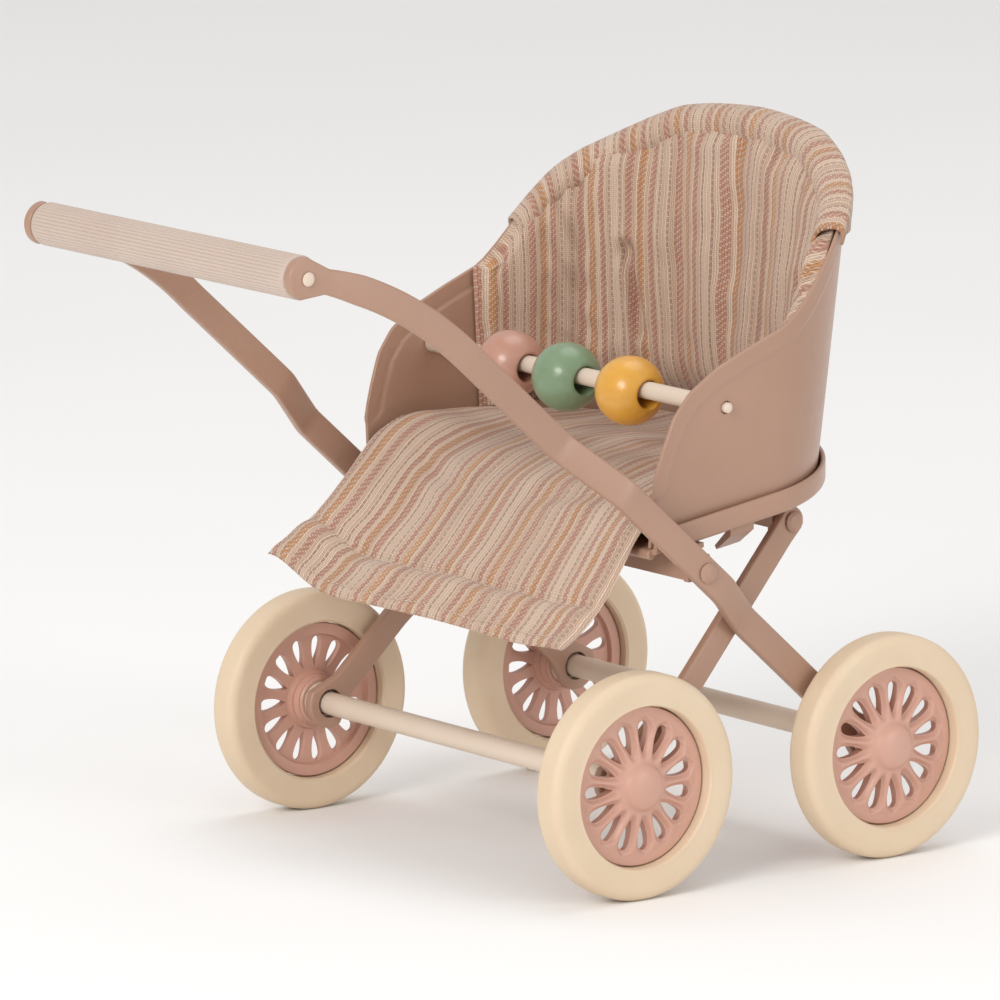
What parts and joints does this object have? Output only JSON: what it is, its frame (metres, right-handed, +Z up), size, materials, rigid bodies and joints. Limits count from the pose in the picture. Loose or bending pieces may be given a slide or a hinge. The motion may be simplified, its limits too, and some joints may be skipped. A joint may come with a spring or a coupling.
{
  "type": "doll stroller",
  "caption": "Doll's stroller with a padded bucket seat facing its push handle, a crossed strap frame, spoked wheels on through axles and beads that slide on a rail.",
  "frame": {"origin": "bottom centre of the bounding box, on the floor the wheels stand on", "axes": "+Y is the way the stroller is pushed, away from the handle, +X runs across it along the axles, +Z is up"},
  "size_m": [0.0816, 0.1154, 0.102],
  "materials": {
    "painted_frame": "satin powder-like paint, dusty rose brown",
    "seat_paint": "satin paint on pressed sheet",
    "hub_plastic": "moulded, satin, rose brown",
    "tyre_rubber": "matt cream",
    "rod_paint": "satin cream",
    "grip_plastic": "matt, fluted along its length",
    "bead_pink": "painted and lacquered",
    "bead_green": "painted and lacquered",
    "bead_mustard": "painted and lacquered",
    "striped_cotton": "loose plain weave with lengthwise stripes",
    "washer_nylon": "plain"
  },
  "bodies": {
    "carriage": {"arm_left": "painted_frame", "arm_right": "painted_frame", "arm_rivet_left": "painted_frame", "arm_rivet_right": "painted_frame", "back_cushion": "striped_cotton", "bead_rod": "rod_paint", "cushion_pocket": "striped_cotton", "front_bracket": "painted_frame", "grip_rod": "painted_frame", "grip_sleeve": "grip_plastic", "leg_left": "painted_frame", "leg_right": "painted_frame", "leg_rivet_left": "painted_frame", "leg_rivet_right": "painted_frame", "rear_bracket": "painted_frame", "seat_cushion": "striped_cotton", "seat_shell": "seat_paint", "seat_tray": "seat_paint", "shell_tab_left": "seat_paint", "shell_tab_right": "seat_paint", "tray_rivet_front_left": "painted_frame", "tray_rivet_front_right": "painted_frame", "tray_rivet_rear_left": "painted_frame", "tray_rivet_rear_right": "painted_frame"},
    "front_wheels": {"front_axle": "rod_paint", "front_hub_left": "hub_plastic", "front_hub_right": "hub_plastic", "front_tyre_left": "tyre_rubber", "front_tyre_right": "tyre_rubber", "front_washer_left": "washer_nylon", "front_washer_right": "washer_nylon"},
    "rear_wheels": {"rear_axle": "rod_paint", "rear_hub_left": "hub_plastic", "rear_hub_right": "hub_plastic", "rear_tyre_left": "tyre_rubber", "rear_tyre_right": "tyre_rubber", "rear_washer_left": "washer_nylon", "rear_washer_right": "washer_nylon"},
    "pink_bead": {"bead_pink": "bead_pink"},
    "green_bead": {"bead_green": "bead_green"},
    "mustard_bead": {"bead_mustard": "bead_mustard"}
  },
  "joints": [
    {"name": "front_wheels_roll", "type": "hinge", "parent": "carriage", "child": "front_wheels", "pos_m": [0, 0.04172, 0.016], "axis": [-1, 0, 0], "continuous": true},
    {"name": "rear_wheels_roll", "type": "hinge", "parent": "carriage", "child": "rear_wheels", "pos_m": [0, -0.00328, 0.016], "axis": [-1, 0, 0], "continuous": true},
    {"name": "pink_bead_slide", "type": "slide", "parent": "carriage", "child": "pink_bead", "axis": [1, 0, 0], "range_m": [-0.0138, 0.0036]},
    {"name": "green_bead_slide", "type": "slide", "parent": "carriage", "child": "green_bead", "axis": [1, 0, 0], "range_m": [-0.0004, 0.005]},
    {"name": "mustard_bead_slide", "type": "slide", "parent": "carriage", "child": "mustard_bead", "axis": [1, 0, 0], "range_m": [-0.0003, 0.016]}
  ]
}
